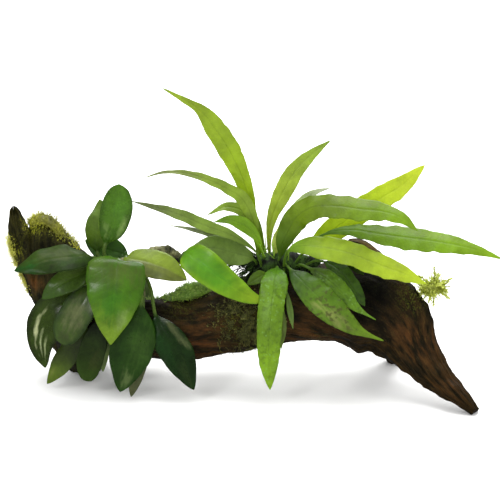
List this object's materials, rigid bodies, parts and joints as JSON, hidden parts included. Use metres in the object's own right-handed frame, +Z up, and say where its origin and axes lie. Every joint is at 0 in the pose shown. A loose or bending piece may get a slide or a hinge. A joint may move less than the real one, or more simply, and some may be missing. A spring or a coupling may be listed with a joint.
{
  "type": "java fern on driftwood",
  "caption": "Dark branching driftwood root for an aquarium, carrying a java fern with long wavy leaves, a broad-leaved anubias and patches of moss.",
  "frame": {"origin": "centre of the bounding box's bottom, on the surface that the driftwood stands on", "axes": "+X along the driftwood's length towards its right leg, -Y towards the viewer of the picture, +Z up"},
  "size_m": [0.3691, 0.1347, 0.2388],
  "materials": {
    "anubias_leaf_above_gap": "smooth glossy leaf",
    "anubias_leaf_back_left": "smooth glossy leaf",
    "anubias_leaf_back_middle": "smooth glossy leaf",
    "anubias_leaf_back_right": "smooth glossy leaf",
    "anubias_leaf_dark_right": "smooth glossy leaf",
    "anubias_leaf_front_large": "smooth glossy leaf",
    "anubias_leaf_grey_green": "smooth glossy leaf",
    "anubias_leaf_hanging_back": "smooth glossy leaf",
    "anubias_leaf_hanging_front": "smooth glossy leaf",
    "anubias_leaf_left_lower": "smooth glossy leaf",
    "anubias_leaf_left_upper": "smooth glossy leaf",
    "anubias_leaf_low_dark": "smooth glossy leaf",
    "anubias_leaf_lower_left_dark": "smooth glossy leaf",
    "anubias_leaf_lower_left_small": "smooth glossy leaf",
    "anubias_leaf_lower_middle": "smooth glossy leaf",
    "anubias_leaf_lower_middle_small": "smooth glossy leaf",
    "anubias_leaf_upright_back": "smooth glossy leaf",
    "anubias_leaf_upright_bright": "smooth glossy leaf",
    "anubias_leaf_young_bright": "smooth glossy leaf",
    "anubias_rhizome": "wet rhizome or root skin",
    "anubias_root_left": "wet rhizome or root skin",
    "anubias_root_right": "wet rhizome or root skin",
    "driftwood_back_root": "wet dark driftwood, semi-gloss",
    "driftwood_front_foot": "wet dark driftwood, semi-gloss",
    "driftwood_horn": "wet dark driftwood, semi-gloss",
    "driftwood_right_leg": "wet dark driftwood, semi-gloss",
    "driftwood_shoulder": "wet dark driftwood, semi-gloss",
    "driftwood_stump": "wet dark driftwood, semi-gloss",
    "driftwood_trunk": "wet dark driftwood, semi-gloss",
    "fern_leaf_arch_low_small": "leathery leaf with a soft sheen",
    "fern_leaf_arch_lower": "leathery leaf with a soft sheen",
    "fern_leaf_arch_small": "leathery leaf with a soft sheen",
    "fern_leaf_arch_upper": "leathery leaf with a soft sheen",
    "fern_leaf_back_left": "leathery leaf with a soft sheen",
    "fern_leaf_back_middle": "leathery leaf with a soft sheen",
    "fern_leaf_back_right": "leathery leaf with a soft sheen",
    "fern_leaf_behind_hanging": "leathery leaf with a soft sheen",
    "fern_leaf_behind_spotted": "leathery leaf with a soft sheen",
    "fern_leaf_bright_backlit": "leathery leaf with a soft sheen",
    "fern_leaf_bright_right": "leathery leaf with a soft sheen",
    "fern_leaf_curled_tip": "leathery leaf with a soft sheen",
    "fern_leaf_dark_behind": "leathery leaf with a soft sheen",
    "fern_leaf_dark_blue_right": "leathery leaf with a soft sheen",
    "fern_leaf_hanging": "leathery leaf with a soft sheen",
    "fern_leaf_inner_green": "leathery leaf with a soft sheen",
    "fern_leaf_long_right": "leathery leaf with a soft sheen",
    "fern_leaf_narrow_hanging": "leathery leaf with a soft sheen",
    "fern_leaf_olive_left": "leathery leaf with a soft sheen",
    "fern_leaf_small_dark_left": "leathery leaf with a soft sheen",
    "fern_leaf_spotted_large": "leathery leaf with a soft sheen",
    "fern_leaf_tall": "leathery leaf with a soft sheen",
    "fern_leaf_thin_tip_left": "leathery leaf with a soft sheen",
    "fern_leaf_upper_right": "leathery leaf with a soft sheen",
    "fern_leaf_wide_middle": "leathery leaf with a soft sheen",
    "fern_rhizome": "wet rhizome or root skin",
    "moss_horn_edge": "soft damp moss",
    "moss_right_tuft": "soft damp moss",
    "moss_stump_top": "soft damp moss",
    "moss_trunk_front": "soft damp moss",
    "moss_trunk_top": "soft damp moss"
  },
  "bodies": {
    "root": {"anubias_leaf_above_gap": "anubias_leaf_above_gap", "anubias_leaf_back_left": "anubias_leaf_back_left", "anubias_leaf_back_middle": "anubias_leaf_back_middle", "anubias_leaf_back_right": "anubias_leaf_back_right", "anubias_leaf_dark_right": "anubias_leaf_dark_right", "anubias_leaf_front_large": "anubias_leaf_front_large", "anubias_leaf_grey_green": "anubias_leaf_grey_green", "anubias_leaf_hanging_back": "anubias_leaf_hanging_back", "anubias_leaf_hanging_front": "anubias_leaf_hanging_front", "anubias_leaf_left_lower": "anubias_leaf_left_lower", "anubias_leaf_left_upper": "anubias_leaf_left_upper", "anubias_leaf_low_dark": "anubias_leaf_low_dark", "anubias_leaf_lower_left_dark": "anubias_leaf_lower_left_dark", "anubias_leaf_lower_left_small": "anubias_leaf_lower_left_small", "anubias_leaf_lower_middle": "anubias_leaf_lower_middle", "anubias_leaf_lower_middle_small": "anubias_leaf_lower_middle_small", "anubias_leaf_upright_back": "anubias_leaf_upright_back", "anubias_leaf_upright_bright": "anubias_leaf_upright_bright", "anubias_leaf_young_bright": "anubias_leaf_young_bright", "anubias_rhizome": "anubias_rhizome", "anubias_root_left": "anubias_root_left", "anubias_root_right": "anubias_root_right", "driftwood_back_root": "driftwood_back_root", "driftwood_front_foot": "driftwood_front_foot", "driftwood_horn": "driftwood_horn", "driftwood_right_leg": "driftwood_right_leg", "driftwood_shoulder": "driftwood_shoulder", "driftwood_stump": "driftwood_stump", "driftwood_trunk": "driftwood_trunk", "fern_leaf_arch_low_small": "fern_leaf_arch_low_small", "fern_leaf_arch_lower": "fern_leaf_arch_lower", "fern_leaf_arch_small": "fern_leaf_arch_small", "fern_leaf_arch_upper": "fern_leaf_arch_upper", "fern_leaf_back_left": "fern_leaf_back_left", "fern_leaf_back_middle": "fern_leaf_back_middle", "fern_leaf_back_right": "fern_leaf_back_right", "fern_leaf_behind_hanging": "fern_leaf_behind_hanging", "fern_leaf_behind_spotted": "fern_leaf_behind_spotted", "fern_leaf_bright_backlit": "fern_leaf_bright_backlit", "fern_leaf_bright_right": "fern_leaf_bright_right", "fern_leaf_curled_tip": "fern_leaf_curled_tip", "fern_leaf_dark_behind": "fern_leaf_dark_behind", "fern_leaf_dark_blue_right": "fern_leaf_dark_blue_right", "fern_leaf_hanging": "fern_leaf_hanging", "fern_leaf_inner_green": "fern_leaf_inner_green", "fern_leaf_long_right": "fern_leaf_long_right", "fern_leaf_narrow_hanging": "fern_leaf_narrow_hanging", "fern_leaf_olive_left": "fern_leaf_olive_left", "fern_leaf_small_dark_left": "fern_leaf_small_dark_left", "fern_leaf_spotted_large": "fern_leaf_spotted_large", "fern_leaf_tall": "fern_leaf_tall", "fern_leaf_thin_tip_left": "fern_leaf_thin_tip_left", "fern_leaf_upper_right": "fern_leaf_upper_right", "fern_leaf_wide_middle": "fern_leaf_wide_middle", "fern_rhizome": "fern_rhizome", "moss_horn_edge": "moss_horn_edge", "moss_right_tuft": "moss_right_tuft", "moss_stump_top": "moss_stump_top", "moss_trunk_front": "moss_trunk_front", "moss_trunk_top": "moss_trunk_top"}
  },
  "joints": []
}
